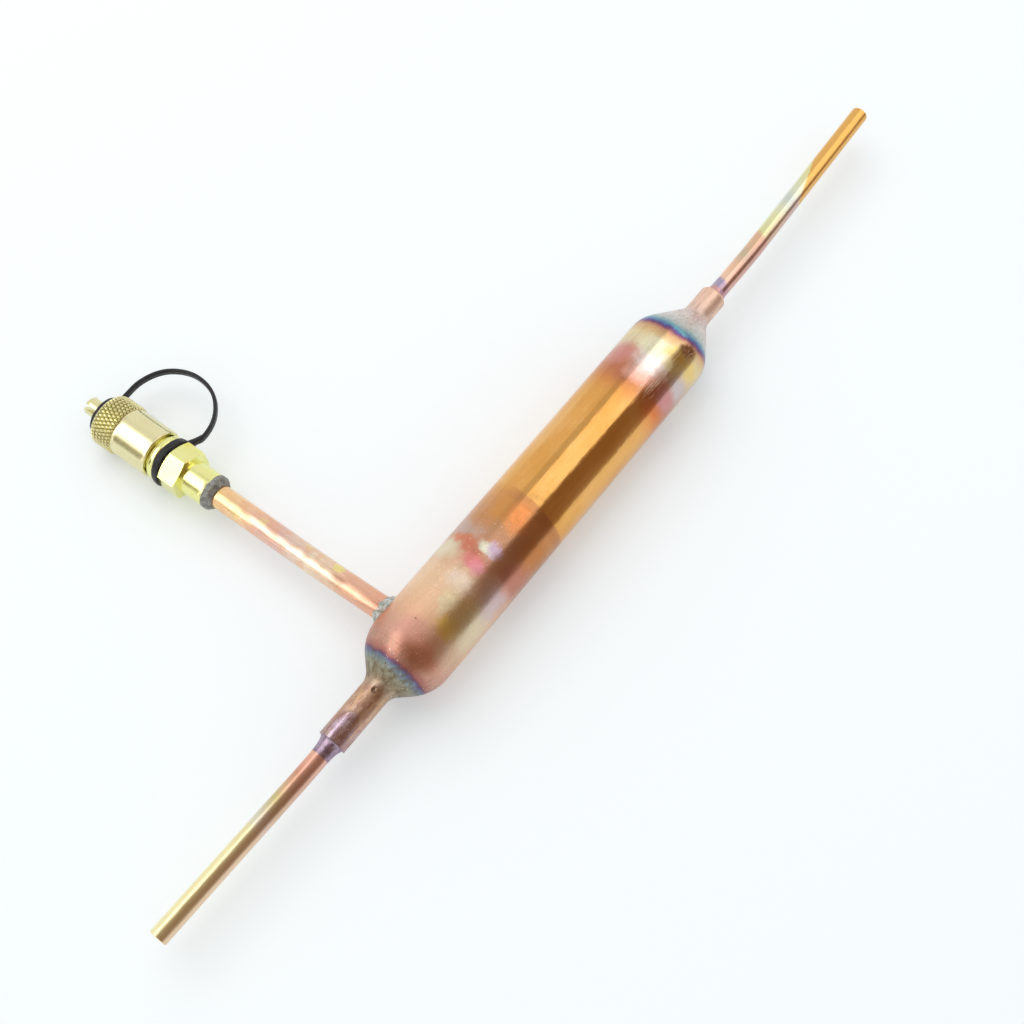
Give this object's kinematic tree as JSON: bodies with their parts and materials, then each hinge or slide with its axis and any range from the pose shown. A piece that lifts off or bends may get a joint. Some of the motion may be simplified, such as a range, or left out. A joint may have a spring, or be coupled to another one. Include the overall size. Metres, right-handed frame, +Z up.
{
  "type": "filter drier",
  "caption": "Spun copper filter drier for a small refrigeration circuit, with stub tubes at both necks and a side tube that carries a capped brass access valve.",
  "frame": {"origin": "on the shell's axis, at the middle of its straight barrel", "axes": "+X along the barrel towards the outlet stub, +Y towards the access valve, +Z up as it lies on a surface"},
  "size_m": [0.2859, 0.1207, 0.0222],
  "materials": {
    "shell_copper": "spun copper, heat tinted at both shoulders",
    "tube_copper": "drawn copper tube, lightly oxidised",
    "braze": "flowed brazing alloy, lilac grey",
    "solder": "dull grey solder",
    "valve_brass": "bright machined brass",
    "cap_brass": "machined and knurled brass",
    "strap_plastic": "moulded black nylon",
    "seal_rubber": "moulded neoprene",
    "seal_plastic": "white fluoropolymer",
    "spring_steel": "drawn spring wire",
    "screen_steel": "pressed sheet and woven wire",
    "desiccant": "bed of molecular sieve beads"
  },
  "bodies": {
    "drier": {"shell": "shell_copper", "inlet_tube": "tube_copper", "inlet_braze": "braze", "outlet_tube": "tube_copper", "outlet_braze": "braze", "access_tube": "tube_copper", "access_tube_braze": "braze", "valve_solder_ring": "solder", "valve_body": "valve_brass", "core_head": "valve_brass", "core_sleeve": "valve_brass", "core_gasket": "seal_plastic", "core_spring": "spring_steel", "inlet_screen_plate": "screen_steel", "inlet_screen_mesh": "screen_steel", "inlet_screen_retainer": "screen_steel", "desiccant_bed": "desiccant", "outlet_screen_plate": "screen_steel", "outlet_screen_mesh": "screen_steel", "outlet_screen_retainer": "screen_steel"},
    "strap": {"cap_strap": "strap_plastic"},
    "cap": {"cap": "cap_brass", "cap_gasket": "seal_rubber"},
    "core_pin": {"core_pin": "valve_brass", "core_seat_seal": "seal_rubber"}
  },
  "joints": [
    {"name": "cap_travel", "type": "slide", "parent": "drier", "child": "strap", "axis": [-0.0349, 0.9987, -0.0384], "range_m": [0, 0.00954], "deforming": ["cap_strap"]},
    {"name": "cap_turn", "type": "hinge", "parent": "strap", "child": "cap", "pos_m": [-0.05143, 0.10293, -0.00396], "axis": [-0.0349, 0.9987, -0.0384], "range_deg": [0, 2700]},
    {"name": "core_press", "type": "slide", "parent": "drier", "child": "core_pin", "axis": [0.0349, -0.9987, 0.0384], "range_m": [0, 0.0015], "stiffness_N_per_m": 1200, "springref_m": -0.001, "deforming": ["core_spring"]}
  ],
  "couplings": [
    {"joint": "cap_travel", "follows": "cap_turn", "m_per_rad": 0.00020213}
  ]
}
